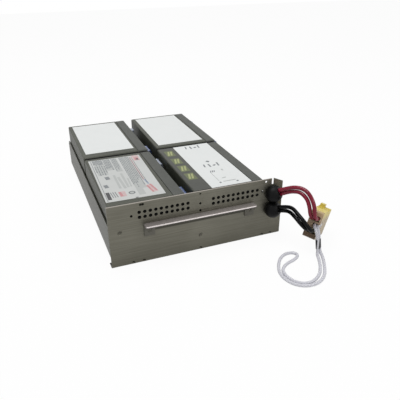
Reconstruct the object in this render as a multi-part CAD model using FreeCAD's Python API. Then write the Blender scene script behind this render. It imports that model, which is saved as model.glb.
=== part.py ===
import FreeCAD, Part
import math
import os

from FreeCAD import Vector

# A battery cartridge for a rack-mount uninterruptible power supply: four sealed lead-acid
# batteries lie flat, two by two, on a folded steel tray behind a taller front panel, with
# their terminals to the right.  Two pairs of leads run from bushings at the panel's right
# end to a two-pole connector that is pulled by a cord loop.
# Millimetres.  X runs along the panel, Y from the panel to the rear, Z up.  The origin is
# the centre of the cartridge's box at the level of the panel's bottom edge.

# --- Driving dimensions -------------------------------------------------------------------

# Sheet steel
sheet = 1.2
bend = 1.0
channel_width = 25.8
tray_lift = 13.5
left_wall_height = 44.0
right_wall_height = 26.0
rear_wall_height = 30.0
rear_chamfer = 7.0
front_flange_height = 14.0
side_flange_width = 18.0
relief = 1.5
drain_diameter = 8.0

# Front panel
panel_height = 82.3
foot_depth = 12.0
vent_diameter = 4.3
vent_pitch = 6.68
vent_row_pitch = 6.6
vent_columns = 10
vent_rows = 2
vent_below_top = 12.9
vent_left_start = 37.7
vent_right_start = 130.9
notch_width = 3.0
notch_depth = 8.2
notch_from_edge = 16.1
ear_drop = 6.0
edge_notch_radius = 2.2
edge_notch_places = (26.5, 39.8, 114.0, 201.2, 213.6)

# Batteries, each on its side with its lid to the right
case_height = 78.8
lid_height = 14.6
battery_length = 151.0
battery_thickness = 65.0
case_corner = 2.5
case_edge = 1.5
seam_width = 0.9
seam_depth = 1.1
battery_left_gap = 1.0
battery_front_gap = 0.5
column_gap = 11.5
row_gap = 6.5
rear_right_shift = 1.8
tape_thickness = 1.6
tape_width = 25.0
tape_length = 120.0
tape_inset = 8.0

# Terminals
terminal_inset = 30.0
terminal_below_top = 14.0
pocket_width = 20.0
pocket_depth = 4.5
pocket_corner = 2.0
tab_width = 6.3
tab_thickness = 0.8
tab_height = 8.0
tab_hole_diameter = 1.6
base_size = 10.0
base_height = 1.2
boot_width = 12.0
boot_length = 22.0
boot_height = 8.6
boot_corner = 2.0
boot_clearance = 0.3
link_diameter = 4.6

# Lid trim
vent_cover_length = 62.0
vent_cover_width = 42.0
vent_cover_thickness = 1.6
vent_cover_recess = 1.2
vent_cover_corner = 3.0

# Labels
label_thickness = 0.25
band_gap = 1.0
# Insets from the container's base, seam, front side and rear side
label_insets = {
    "front_left": (2.4, 4.9, 10.4, 8.6),
    "front_right": (24.0, 0.9, 1.4, 1.7),
    "rear_left": (5.5, 3.3, 13.1, 6.7),
    "rear_right": (5.8, 2.7, 9.4, 6.2),
}
label_turns = {"front_left": -1.1}

# Foam
rear_pad_thickness = 3.4
front_pad_height = 17.0
front_pad_below_top = 4.0
row_spacer_below_top = 1.5
pad_side_inset = 10.0

# Pull handle
handle_length = 145.0
handle_start = 42.0
handle_below_vents = 7.45
handle_reach = 10.5
handle_thickness = 2.2
handle_foot_width = 13.0
handle_foot_height = 14.5
handle_foot_thickness = 1.6
handle_corner = 3.0
handle_edge_rounding = 1.0

# Rivets
rivet_shank_diameter = 3.2
rivet_head_diameter = 5.6
rivet_head_height = 1.0
rivet_tail_height = 1.2
rivet_tail_share = 0.85
sunk_rivet_depth = 0.9
rivet_clearance = 0.1
panel_rivet_places = ((13.2, 46.6), (114.0, 21.7))

# Lead bushings
bushing_radius = 11.0
bushing_centre_reach = 4.5
bushing_from_edge = 14.3
bushing_below_top = 20.0
bushing_pitch = 22.4
bushing_flat = 8.5
bushing_neck_radius = 7.0
bushing_fit = 0.1
bushing_snap_radius = 8.6
bushing_snap_depth = 3.0
bushing_upper_aim = (0.596, -0.655, 0.464)
bushing_lower_aim = (0.663, -0.695, 0.279)

# Leads
lead_diameter = 5.0
lead_spacing = 5.5

# Connector, in its own frame: X towards the mating end, Y from pole to pole, Z its thickness
connector_length = 48.0
connector_width = 37.0
connector_thickness = 16.0
connector_corner = 3.0
connector_yaw = 49.0
connector_dip = 19.4
connector_lean = 10.3
pole_inset = 10.4
cavity_width = 7.2
cavity_height = 12.4
cavity_depth = 24.0
mating_width = 11.0
mating_height = 10.0
barrel_start = 6.0
barrel_length = 15.0
barrel_clearance = 0.2
blade_width = 8.0
blade_thickness = 2.4
blade_length = 22.0
knot_chamber_diameter = 9.0
knot_chamber_from_end = 13.0
cord_slot_clearance = 0.3
finger_rib_count = 4
finger_rib_pitch = 4.0
finger_rib_depth = 0.8
latch_height = 4.0
latch_width = 6.5
latch_length = 12.0
latch_from_side = 1.5

# Pull cord
cord_diameter = 3.9
cord_spacing = 4.2
cord_exit_height = 11.6
sleeve_wall = 0.8
sleeve_clearance = 0.1
sleeve_length = 12.2
sleeve_from_bend = 1.6
sleeve_run = 17.2
knot_radius = 4.3
knot_flat = 3.2
knot_height = 8.6
knot_bevel = 0.9
cord_run_outs = (2.4, 4.6)

# --- Places worked out from the dimensions -------------------------------------------------

battery_height = case_height + lid_height
tray_width = 2 * (sheet + battery_height) + battery_left_gap + column_gap + channel_width
vent_top_height = panel_height - vent_below_top
handle_top_height = vent_top_height - vent_row_pitch - vent_diameter / 2 - handle_below_vents
bushing_upper_height = panel_height - bushing_below_top
bushing_reach = bushing_centre_reach + bushing_radius
tray_length = (
    3 * sheet + battery_front_gap + 2 * battery_length + row_gap + rear_pad_thickness
)
overall_depth = tray_length + max(bushing_reach, handle_reach)
left = -tray_width / 2
right = tray_width / 2
front = -overall_depth / 2 + max(bushing_reach, handle_reach)
rear = front + tray_length
floor_top = tray_lift + sheet
battery_bottom = floor_top + tape_thickness
battery_top = battery_bottom + battery_thickness
battery_front = front + 2 * sheet + battery_front_gap
column_lefts = [left + sheet + battery_left_gap]
column_lefts.append(column_lefts[0] + battery_height + column_gap)
row_fronts = [battery_front, battery_front + battery_length + row_gap]
batteries = {
    "front_left": (column_lefts[0], row_fronts[0]),
    "front_right": (column_lefts[1], row_fronts[0]),
    "rear_left": (column_lefts[0], row_fronts[1]),
    "rear_right": (column_lefts[1] + rear_right_shift, row_fronts[1]),
}


# --- Helpers --------------------------------------------------------------------------------

def save(name, shape):
    """Write one node."""
    shape.exportStep(os.path.join("parts", name + ".step"))


def box(x, y, z):
    """A block between pairs of limits."""
    return Part.makeBox(
        x[1] - x[0], y[1] - y[0], z[1] - z[0], Vector(x[0], y[0], z[0])
    )


def cylinder(centre, axis, radius, length):
    """A cylinder from its centre point along its axis."""
    return Part.makeCylinder(radius, length, Vector(*centre), Vector(*axis))


def round_edges(shape, radius, wanted):
    """Fillet the edges that a test of their two end points picks."""
    picked = []
    for edge in shape.Edges:
        ends = [vertex.Point for vertex in edge.Vertexes]
        if len(ends) == 2 and wanted(ends[0], ends[1]):
            picked.append(edge)
    return shape.makeFillet(radius, picked)


def along(axis):
    """A test for edges that run along one axis, 0 to 2."""
    def wanted(a, b):
        return all(abs(a[i] - b[i]) < 1e-6 for i in range(3) if i != axis)
    return wanted


def folded_strip(path, to_point, depth):
    """Sheet folded along a path of its outer face, with its thickness to the path's left.

    to_point turns the path's two numbers into a point, and depth is the strip's width.
    """
    def offset_corner(i):
        before = path[i - 1] if i > 0 else None
        after = path[i + 1] if i + 1 < len(path) else None
        normals = []
        for a, b in ((before, path[i]), (path[i], after)):
            if a is None or b is None:
                continue
            run = math.dist(a, b)
            normals.append((-(b[1] - a[1]) / run, (b[0] - a[0]) / run))
        if len(normals) == 1:
            shift = normals[0]
        else:
            scale = 1 + normals[0][0] * normals[1][0] + normals[0][1] * normals[1][1]
            shift = [(normals[0][k] + normals[1][k]) / scale for k in (0, 1)]
        return path[i][0] + sheet * shift[0], path[i][1] + sheet * shift[1]

    inner = [offset_corner(i) for i in range(len(path))]
    loop = [to_point(*p) for p in path + inner[::-1]]
    strip = Part.Face(Part.makePolygon(loop + loop[:1])).extrude(depth)
    for corners, radius in ((path[1:-1], bend + sheet), (inner[1:-1], bend)):
        points = [to_point(*p) for p in corners]

        def at_bend(a, b):
            ends = {(round(p.x, 4), round(p.y, 4), round(p.z, 4)) for p in (a, b)}
            for p in points:
                q = p + depth
                pair = {(round(v.x, 4), round(v.y, 4), round(v.z, 4)) for v in (p, q)}
                if ends == pair:
                    return True
            return False

        strip = round_edges(strip, radius, at_bend)
    return strip


def cord_path(points):
    """Straight runs joined by tangent arcs as large as the runs allow: wire and radii."""
    edges = []
    radii = []
    start = points[0]
    for before, corner, after in zip(points, points[1:], points[2:]):
        run_in = corner - before
        run_out = after - corner
        turn = run_in.getAngle(run_out)
        reach = 0.45 * min(run_in.Length, run_out.Length)
        radius = reach / math.tan(turn / 2)
        direction_in = Vector(run_in).normalize()
        direction_out = Vector(run_out).normalize()
        arc_start = corner - direction_in * reach
        arc_end = corner + direction_out * reach
        inward = (direction_out - direction_in).normalize()
        to_middle = radius / math.cos(turn / 2) - radius
        edges.append(Part.LineSegment(start, arc_start).toShape())
        edges.append(Part.Arc(arc_start, corner + inward * to_middle, arc_end).toShape())
        radii.append(radius)
        start = arc_end
    edges.append(Part.LineSegment(start, points[-1]).toShape())
    return Part.Wire(edges), radii


def cord_tube(name, points, diameter):
    """A round cord along its route, with its length, radii and volume printed."""
    wire, radii = cord_path(points)
    direction = (points[1] - points[0]).normalize()
    ring = Part.Wire(Part.makeCircle(diameter / 2, points[0], direction))
    tube = wire.makePipeShell([ring], True, False)
    expected = math.pi * diameter ** 2 / 4 * wire.Length
    print(
        f"{name}: length {wire.Length:.1f}, volume ratio {tube.Volume / expected:.4f}, radii",
        " ".join(f"{radius:.1f}" for radius in radii),
    )
    return tube


def route(points):
    """Points of a cord, counted from the panel's outer lower left corner."""
    return [Vector(left + x, front + y, z) for x, y, z in points]


# --- Sheet metal ----------------------------------------------------------------------------

def make_tray():
    """One folded sheet: floor, two side walls, rear wall and two front flanges."""
    corner = bend + sheet
    y_front = front + sheet
    wall_path = [
        (left, tray_lift + left_wall_height),
        (left, tray_lift),
        (right, tray_lift),
        (right, tray_lift + right_wall_height),
    ]
    tray = folded_strip(
        wall_path, lambda x, z: Vector(x, y_front, z), Vector(0, rear - y_front, 0)
    )
    inner_left = left + corner + relief
    inner_right = right - corner - relief
    strip_width = Vector(inner_right - inner_left - 2 * relief, 0, 0)
    strip_left = inner_left + relief
    for y_edge, inward in ((y_front, 1), (rear, -1)):
        limits = sorted((y_edge, y_edge + inward * corner))
        tray = tray.cut(box((inner_left, inner_right), limits, (tray_lift, floor_top)))
    overlap = 2 * corner
    rear_path = [
        (rear - overlap, tray_lift),
        (rear, tray_lift),
        (rear, tray_lift + rear_wall_height),
    ]
    front_path = [
        (y_front, tray_lift + front_flange_height),
        (y_front, tray_lift),
        (y_front + overlap, tray_lift),
    ]
    for path in (rear_path, front_path):
        tray = tray.fuse(
            folded_strip(path, lambda y, z: Vector(strip_left, y, z), strip_width)
        )
    flange_bottom = tray_lift + front_flange_height + relief
    flange_top = tray_lift + left_wall_height
    tray = tray.cut(
        box((left, left + sheet), (y_front, y_front + corner), (flange_bottom - relief, flange_top))
    )
    side_path = [
        (left, y_front + overlap),
        (left, y_front),
        (left + side_flange_width, y_front),
    ]
    tray = tray.fuse(
        folded_strip(
            side_path,
            lambda x, y: Vector(x, y, flange_bottom),
            Vector(0, 0, flange_top - flange_bottom),
        )
    )
    for x_wall, top in (
        (left, tray_lift + left_wall_height),
        (right - sheet, tray_lift + right_wall_height),
    ):
        wedge = Part.Face(
            Part.makePolygon(
                [
                    Vector(x_wall, rear - rear_chamfer, top),
                    Vector(x_wall, rear, top),
                    Vector(x_wall, rear, top - rear_chamfer),
                    Vector(x_wall, rear - rear_chamfer, top),
                ]
            )
        ).extrude(Vector(sheet, 0, 0))
        tray = tray.cut(wedge)
    for x, y in battery_centres():
        tray = tray.cut(
            cylinder((x, y, tray_lift), (0, 0, 1), drain_diameter / 2, sheet)
        )
    for x, z in panel_rivet_places:
        tray = tray.cut(rivet_hole(left + x, y_front, z))
    return tray.removeSplitter()


def battery_centres():
    """Centre of each battery in plan."""
    return [
        (x + battery_height / 2, y + battery_length / 2) for x, y in batteries.values()
    ]


def rivet_hole(x, y, z):
    """A rivet's hole through one sheet whose outer face is at y."""
    radius = rivet_shank_diameter / 2 + rivet_clearance
    return cylinder((x, y, z), (0, 1, 0), radius, sheet)


def make_panel():
    """The front panel: a tall plate with a foot turned back at its bottom edge."""
    path = [(front, panel_height), (front, 0), (front + foot_depth, 0)]
    panel = folded_strip(
        path, lambda y, z: Vector(left, y, z), Vector(tray_width, 0, 0)
    )
    for start in (vent_left_start, vent_right_start):
        for column in range(vent_columns):
            for row in range(vent_rows):
                x = left + start + column * vent_pitch
                z = vent_top_height - row * vent_row_pitch
                panel = panel.cut(
                    cylinder((x, front, z), (0, 1, 0), vent_diameter / 2, sheet)
                )
    for x, z, diameter in panel_holes():
        panel = panel.cut(cylinder((left + x, front, z), (0, 1, 0), diameter / 2, sheet))
    for x in edge_notch_places:
        panel = panel.cut(
            cylinder((left + x, front, bend + sheet), (0, 1, 0), edge_notch_radius, sheet)
        )
    for x, z in handle_rivet_places():
        panel = panel.cut(rivet_hole(left + x, front, z))
    for x, z in panel_rivet_places:
        panel = panel.cut(
            Part.makeCone(*countersink(), sheet, Vector(left + x, front, z), Vector(0, 1, 0))
        )
    notch_right = right - notch_from_edge + notch_width
    panel = panel.cut(
        box(
            (right - notch_from_edge, notch_right),
            (front, front + sheet),
            (panel_height - notch_depth, panel_height),
        )
    )
    ear = Part.Face(
        Part.makePolygon(
            [
                Vector(notch_right, front, panel_height),
                Vector(right, front, panel_height),
                Vector(right, front, panel_height - ear_drop),
                Vector(notch_right, front, panel_height),
            ]
        )
    ).extrude(Vector(0, sheet, 0))
    panel = panel.cut(ear)
    for x, z in bushing_places():
        panel = panel.cut(
            cylinder((x, front, z), (0, 1, 0), bushing_neck_radius + bushing_fit, sheet)
        )
    return panel


def panel_holes():
    """Single holes of the panel: place from its lower left corner, and diameter."""
    middle_row = vent_top_height - vent_row_pitch / 2
    left_end = vent_left_start - 9.6
    right_end = vent_right_start + (vent_columns - 1) * vent_pitch + 7.4
    upper_row = panel_height - 3.4
    return [
        (left_end, middle_row, 3.2),
        (right_end, middle_row, 3.2),
        (vent_left_start + 2.1, upper_row, 3.4),
        (vent_left_start + 4.7, upper_row, 3.4),
        (tray_width / 2, middle_row, 3.0),
        (tray_width / 2, upper_row, 2.4),
        (tray_width / 2, handle_top_height + 3.4, 3.2),
        (right_end + 5.0, upper_row, 3.0),
    ]


def bushing_places():
    """Centres of the upper and the lower lead bushing in the panel."""
    x = right - bushing_from_edge
    return [
        (x, bushing_upper_height),
        (x, bushing_upper_height - bushing_pitch),
    ]


def handle_rivet_places():
    """Rivets of the pull handle, one in each foot, from the panel's lower left corner."""
    z = handle_top_height - handle_thickness - handle_foot_height / 2
    first = handle_start + handle_foot_width / 2
    return ((first, z), (handle_start + handle_length - handle_foot_width / 2, z))


def rivet(x, head_face, grip, z):
    """A turned rivet: domed head on head_face, shank through grip of sheet, flat set tail."""
    shank = rivet_shank_diameter / 2
    head = rivet_head_diameter / 2
    ball = (head ** 2 + rivet_head_height ** 2) / (2 * rivet_head_height)
    half_angle = math.asin(head / ball) / 2
    crown = Vector(0, -rivet_head_height, 0)
    shoulder = Vector(head, 0, 0)
    middle = Vector(
        ball * math.sin(half_angle), ball - rivet_head_height - ball * math.cos(half_angle), 0
    )
    outline = [
        shoulder,
        Vector(shank, 0, 0),
        Vector(shank, grip, 0),
        Vector(head * rivet_tail_share, grip, 0),
        Vector(head * rivet_tail_share, grip + rivet_tail_height, 0),
        Vector(0, grip + rivet_tail_height, 0),
        crown,
    ]
    edges = [Part.Arc(crown, middle, shoulder).toShape()]
    edges += Part.makePolygon(outline).Edges
    body = Part.Face(Part.Wire(edges)).revolve(Vector(0, 0, 0), Vector(0, 1, 0), 360)
    body.translate(Vector(x, head_face, z))
    return body


def countersink():
    """Radii of a countersunk rivet hole at the panel's outer and inner face."""
    return rivet_head_diameter / 2, rivet_shank_diameter / 2 + rivet_clearance


def make_panel_rivets():
    """Rivets that join the panel to the tray, sunk outside and flush inside."""
    outer, inner = countersink()
    sunk = outer - (outer - inner) * sunk_rivet_depth / sheet - rivet_clearance
    shank = rivet_shank_diameter / 2
    solids = []
    for x, z in panel_rivet_places:
        place = Vector(left + x, front, z)
        outline = [
            Vector(0, sunk_rivet_depth, 0),
            Vector(sunk, sunk_rivet_depth, 0),
            Vector(shank, sheet, 0),
            Vector(shank, 2 * sheet, 0),
            Vector(0, 2 * sheet, 0),
            Vector(0, sunk_rivet_depth, 0),
        ]
        body = Part.Face(Part.makePolygon(outline)).revolve(Vector(), Vector(0, 1, 0), 360)
        body.translate(place)
        solids.append(body)
    return Part.makeCompound(solids)


def make_handle_rivets():
    """Rivets that hold the handle's feet to the panel."""
    grip = sheet + handle_foot_thickness
    head_face = front - handle_foot_thickness
    return Part.makeCompound(
        [rivet(left + x, head_face, grip, z) for x, z in handle_rivet_places()]
    )


def make_handle():
    """A ledge to pull the cartridge by, with a rolled edge and a foot down at each end."""
    x_start = left + handle_start
    x_end = x_start + handle_length
    bottom = handle_top_height - handle_thickness
    ledge = box(
        (x_start, x_end), (front - handle_reach, front), (bottom, handle_top_height)
    )

    def outer_corner(a, b):
        return along(2)(a, b) and abs(a.y - (front - handle_reach)) < 1e-6

    def rolled_edge(a, b):
        return abs(a.z - b.z) < 1e-6 and max(a.y, b.y) < front - 1e-6

    ledge = round_edges(ledge, handle_corner, outer_corner)
    ledge = round_edges(ledge, handle_edge_rounding, rolled_edge)
    handle = ledge
    for foot_start in (x_start, x_end - handle_foot_width):
        foot = box(
            (foot_start, foot_start + handle_foot_width),
            (front - handle_foot_thickness, front),
            (bottom - handle_foot_height, bottom),
        )
        gusset = Part.Face(
            Part.makePolygon(
                [
                    Vector(foot_start, front - handle_foot_thickness, bottom),
                    Vector(foot_start, front - handle_reach + handle_corner, bottom),
                    Vector(foot_start, front - handle_foot_thickness, bottom - handle_corner),
                    Vector(foot_start, front - handle_foot_thickness, bottom),
                ]
            )
        ).extrude(Vector(handle_foot_width, 0, 0))
        handle = handle.fuse(foot).fuse(gusset)
    for x, z in handle_rivet_places():
        radius = rivet_shank_diameter / 2 + rivet_clearance
        handle = handle.cut(
            cylinder(
                (left + x, front - handle_foot_thickness, z),
                (0, 1, 0),
                radius,
                handle_foot_thickness,
            )
        )
    return handle.removeSplitter()


# --- Batteries ------------------------------------------------------------------------------

def make_case(x, y):
    """A battery's container, closed at its left end."""
    case = box(
        (x, x + case_height), (y, y + battery_length), (battery_bottom, battery_top)
    )
    case = round_edges(case, case_corner, along(0))

    def at_base(a, b):
        return abs(a.x - x) < 1e-6 and abs(b.x - x) < 1e-6

    case = round_edges(case, case_edge, at_base)
    return case.cut(half_seam(x + case_height - seam_width / 2, y))


def half_seam(x, y):
    """Half of the groove round the battery where the container and the lid are welded."""
    limits = (x, x + seam_width / 2)
    ring = box(
        limits,
        (y - seam_depth, y + battery_length + seam_depth),
        (battery_bottom - seam_depth, battery_top + seam_depth),
    )
    core = box(
        limits,
        (y + seam_depth, y + battery_length - seam_depth),
        (battery_bottom + seam_depth, battery_top - seam_depth),
    )
    return ring.cut(round_edges(core, case_corner - seam_depth, along(0)))


def terminal_places(y):
    """Y and Z of the two terminals of a battery that starts at y."""
    z = battery_top - terminal_below_top
    return [(y + terminal_inset, z), (y + battery_length - terminal_inset, z)]


def vent_cover_limits(y):
    """Y and Z limits of the strip over the lid's vents."""
    middle = y + battery_length / 2
    centre = (battery_bottom + battery_top) / 2
    return (
        (middle - vent_cover_length / 2, middle + vent_cover_length / 2),
        (centre - vent_cover_width / 2, centre + vent_cover_width / 2),
    )


def make_lid(x, y):
    """A battery's lid with a pocket round each terminal and a seat for the vent cover."""
    outer = x + battery_height
    lid = box(
        (x + case_height, outer), (y, y + battery_length), (battery_bottom, battery_top)
    )
    lid = round_edges(lid, case_corner, along(0))

    def at_outer_face(a, b):
        return abs(a.x - outer) < 1e-6 and abs(b.x - outer) < 1e-6

    lid = round_edges(lid, case_edge, at_outer_face)
    lid = lid.cut(half_seam(x + case_height, y))
    half = pocket_width / 2
    for y_tab, z_tab in terminal_places(y):
        pocket = box(
            (outer - pocket_depth, outer),
            (y_tab - half, y_tab + half),
            (z_tab - half, z_tab + half),
        )
        lid = lid.cut(round_edges(pocket, pocket_corner, along(0)))
    seat = box((outer - vent_cover_recess, outer), *vent_cover_limits(y))
    return lid.cut(round_edges(seat, vent_cover_corner, along(0)))


def make_vent_cover(x, y):
    """The strip welded over the lid's vents."""
    base = x + battery_height - vent_cover_recess
    strip = box((base, base + vent_cover_thickness), *vent_cover_limits(y))
    return round_edges(strip, vent_cover_corner, along(0))


def make_terminals(x, y):
    """Two blade terminals on their bases, in the lid's pockets."""
    base_x = x + battery_height - pocket_depth
    tab_x = base_x + base_height
    solids = []
    for y_tab, z_tab in terminal_places(y):
        base = cylinder((base_x, y_tab, z_tab), (1, 0, 0), base_size / 2, base_height)
        tab = box(
            (tab_x, tab_x + tab_height),
            (y_tab - tab_thickness / 2, y_tab + tab_thickness / 2),
            (z_tab - tab_width / 2, z_tab + tab_width / 2),
        )
        hole = cylinder(
            (tab_x + tab_height / 2, y_tab - tab_thickness / 2, z_tab),
            (0, 1, 0),
            tab_hole_diameter / 2,
            tab_thickness,
        )
        solids.append(base.fuse(tab.cut(hole)))
    return Part.makeCompound(solids)


def boot_limits(x, y_tab, z_tab, aim):
    """Limits of the insulated receptacle on a terminal, with its lead end towards aim."""
    x_low = x + battery_height + boot_clearance
    half = boot_width / 2
    near = half
    far = boot_length - half
    if aim == "down":
        return (
            (x_low, x_low + boot_height),
            (y_tab - half, y_tab + half),
            (z_tab - far, z_tab + near),
        )
    ends = (y_tab - far, y_tab + near) if aim == "front" else (y_tab - near, y_tab + far)
    return (x_low, x_low + boot_height), ends, (z_tab - half, z_tab + half)


def boot_aims(row):
    """Aims of the receptacles on the front and the rear terminal of a battery."""
    return ("front", "rear") if row == "front" else ("front", "down")


def make_boots(x, y, row):
    """The insulated push-on receptacles of a battery's two terminals."""
    solids = []
    for (y_tab, z_tab), aim in zip(terminal_places(y), boot_aims(row)):
        limits = boot_limits(x, y_tab, z_tab, aim)
        boot = box(*limits)
        boot = round_edges(boot, boot_corner, along(2 if aim == "down" else 1))
        tab_end = x + battery_height - pocket_depth + base_height + tab_height
        slot_x = (limits[0][0], tab_end + boot_clearance)
        slot = box(
            slot_x,
            (
                y_tab - tab_thickness / 2 - boot_clearance,
                y_tab + tab_thickness / 2 + boot_clearance,
            ),
            (
                z_tab - tab_width / 2 - boot_clearance,
                z_tab + tab_width / 2 + boot_clearance,
            ),
        )
        solids.append(boot.cut(slot))
    return Part.makeCompound(solids)


def make_link(column):
    """The short lead that joins the two batteries of a column."""
    x = column_lefts[column]
    front_tab = terminal_places(row_fronts[0])[1]
    rear_tab = terminal_places(row_fronts[1])[0]
    front_boot = boot_limits(x, *front_tab, "rear")
    rear_boot = boot_limits(x, *rear_tab, "front")
    start = front_boot[1][1]
    centre = (sum(front_boot[0]) / 2, start, front_tab[1])
    return cylinder(centre, (0, 1, 0), link_diameter / 2, rear_boot[1][0] - start)


def make_label(name, x, y):
    """A thin label on a battery's upper side, turned where it was stuck on askew."""
    base, seam, front_side, rear_side = label_insets[name]
    label = box(
        (x + base, x + case_height - seam),
        (y + front_side, y + battery_length - rear_side),
        (battery_top, battery_top + label_thickness),
    )
    label.rotate(label.BoundBox.Center, Vector(0, 0, 1), label_turns.get(name, 0))
    return label


def make_label_band(name, x, y):
    """The narrow label beside the wide one, at the base end of its container."""
    base, seam, front_side, rear_side = label_insets[name]
    return box(
        (x + band_gap, x + base - band_gap),
        (y + front_side, y + battery_length - rear_side),
        (battery_top, battery_top + label_thickness),
    )


def make_tapes():
    """Strips of foam tape that stick the batteries to the tray, two to each."""
    solids = []
    for x, y in batteries.values():
        middle = y + battery_length / 2
        for start in (x + tape_inset, x + battery_height - tape_inset - tape_width):
            solids.append(
                box(
                    (start, start + tape_width),
                    (middle - tape_length / 2, middle + tape_length / 2),
                    (floor_top, battery_bottom),
                )
            )
    return Part.makeCompound(solids)


def make_row_spacer(column):
    """Foam between the front and the rear battery of a column."""
    x = column_lefts[column]
    return box(
        (x + case_corner, x + battery_height - case_corner),
        (row_fronts[0] + battery_length, row_fronts[1]),
        (battery_bottom, battery_top - row_spacer_below_top),
    )


def make_front_pad():
    """Foam between the panel and the upper edge of the front batteries."""
    top = battery_top - front_pad_below_top
    return box(
        (column_lefts[0] + pad_side_inset, column_lefts[1] + battery_height - pad_side_inset),
        (front + sheet, battery_front),
        (top - front_pad_height, top),
    )


def make_rear_pad():
    """Foam between the rear batteries and the tray's rear wall."""
    return box(
        (column_lefts[0] + pad_side_inset, column_lefts[1] + battery_height - pad_side_inset),
        (row_fronts[1] + battery_length, rear - sheet),
        (battery_bottom, tray_lift + rear_wall_height),
    )


# --- Bushings and leads -----------------------------------------------------------------------

def bushing_centre(place):
    """Centre of a bushing's ball."""
    return Vector(place[0], front - bushing_centre_reach, place[1])


def make_bushing(place, aim):
    """A moulded ball with a flat where its leads leave, and a neck that snaps in the panel."""
    centre = bushing_centre(place)
    x, z = place
    ball = Part.makeSphere(bushing_radius, centre)
    ball = ball.cut(
        box(
            (x - bushing_radius, x + bushing_radius),
            (front, front + bushing_radius),
            (z - bushing_radius, z + bushing_radius),
        )
    )
    direction = Vector(*aim).normalize()
    flat = centre + direction * bushing_flat
    ball = ball.cut(Part.makeCylinder(bushing_radius, bushing_radius, flat, direction))
    neck = cylinder((x, front, z), (0, 1, 0), bushing_neck_radius, sheet)
    snap = Part.makeCone(
        bushing_snap_radius,
        bushing_neck_radius - 1,
        bushing_snap_depth,
        Vector(x, front + sheet, z),
        Vector(0, 1, 0),
    )
    return ball.fuse(neck).fuse(snap)


def lead_exits(place, aim, spread):
    """Where a bushing's two leads start, the outer first, and their direction."""
    direction = Vector(*aim).normalize()
    across = Vector(*spread)
    across = (across - direction * across.dot(direction)).normalize()
    middle = bushing_centre(place) + direction * bushing_flat
    offset = across * (lead_spacing / 2)
    return (middle + offset, middle - offset), direction


# --- Connector --------------------------------------------------------------------------------

connector_corner_place = (234.4, -43.5, 17.9)


def connector_axes():
    """Directions of the connector's length, width and thickness where it lies."""
    yaw, dip, lean = (
        math.radians(angle) for angle in (connector_yaw, connector_dip, connector_lean)
    )
    ahead = Vector(math.sin(yaw), math.cos(yaw), 0)
    side = Vector(math.cos(yaw), -math.sin(yaw), 0)
    up = Vector(0, 0, 1)
    length = ahead * math.cos(dip) - up * math.sin(dip)
    upright = ahead * math.sin(dip) + up * math.cos(dip)
    width = upright * math.cos(lean) + side * math.sin(lean)
    thickness = side * math.cos(lean) - upright * math.sin(lean)
    return length, width, thickness


def in_connector(x, y, z):
    """A point of the connector's own frame, where it lies."""
    length, width, thickness = connector_axes()
    corner, = route([connector_corner_place])
    return corner + length * x + width * y + thickness * z


def lay_connector(shape):
    """Turn a shape from the connector's own frame to where it lies."""
    length, width, thickness = connector_axes()
    corner, = route([connector_corner_place])
    matrix = FreeCAD.Matrix(
        length.x, width.x, thickness.x, corner.x,
        length.y, width.y, thickness.y, corner.y,
        length.z, width.z, thickness.z, corner.z,
        0, 0, 0, 1,
    )
    placed = shape.copy()
    placed.Placement = FreeCAD.Placement(matrix)
    return placed


def pole_places():
    """Width of the lower and the upper pole in the connector's frame."""
    return (pole_inset, connector_width - pole_inset)


def make_housing():
    """The two-pole housing: a cavity through each pole, grip ribs, a latch and the cord's hole."""
    housing = box((0, connector_length), (0, connector_width), (0, connector_thickness))
    housing = round_edges(housing, connector_corner, along(2))
    middle_y = connector_width / 2
    middle_z = connector_thickness / 2
    for y in pole_places():
        rear_cavity = box(
            (0, cavity_depth),
            (y - cavity_width / 2, y + cavity_width / 2),
            (middle_z - cavity_height / 2, middle_z + cavity_height / 2),
        )
        mating_cavity = box(
            (cavity_depth, connector_length),
            (y - mating_width / 2, y + mating_width / 2),
            (middle_z - mating_height / 2, middle_z + mating_height / 2),
        )
        housing = housing.cut(round_edges(rear_cavity, 1.5, along(0)))
        housing = housing.cut(mating_cavity)
    slot_half_height = (cord_spacing + cord_diameter) / 2 + cord_slot_clearance
    slot_half_width = cord_diameter / 2 + cord_slot_clearance
    housing = housing.cut(
        box(
            (0, knot_chamber_from_end),
            (middle_y - slot_half_width, middle_y + slot_half_width),
            (cord_exit_height - slot_half_height, connector_thickness),
        )
    )
    housing = housing.cut(
        cylinder(
            (knot_chamber_from_end, middle_y, 0),
            (0, 0, 1),
            knot_chamber_diameter / 2,
            connector_thickness,
        )
    )
    for index in range(finger_rib_count):
        x = connector_length / 2 + index * finger_rib_pitch
        for y in ((0, finger_rib_depth), (connector_width - finger_rib_depth, connector_width)):
            housing = housing.cut(
                box((x, x + finger_rib_pitch / 2), y, (0, connector_thickness))
            )
    latch = box(
        (connector_length - latch_length, connector_length - connector_corner),
        (connector_width - connector_corner, connector_width + latch_height),
        (latch_from_side, latch_from_side + latch_width),
    )
    return lay_connector(housing.fuse(latch))


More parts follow.
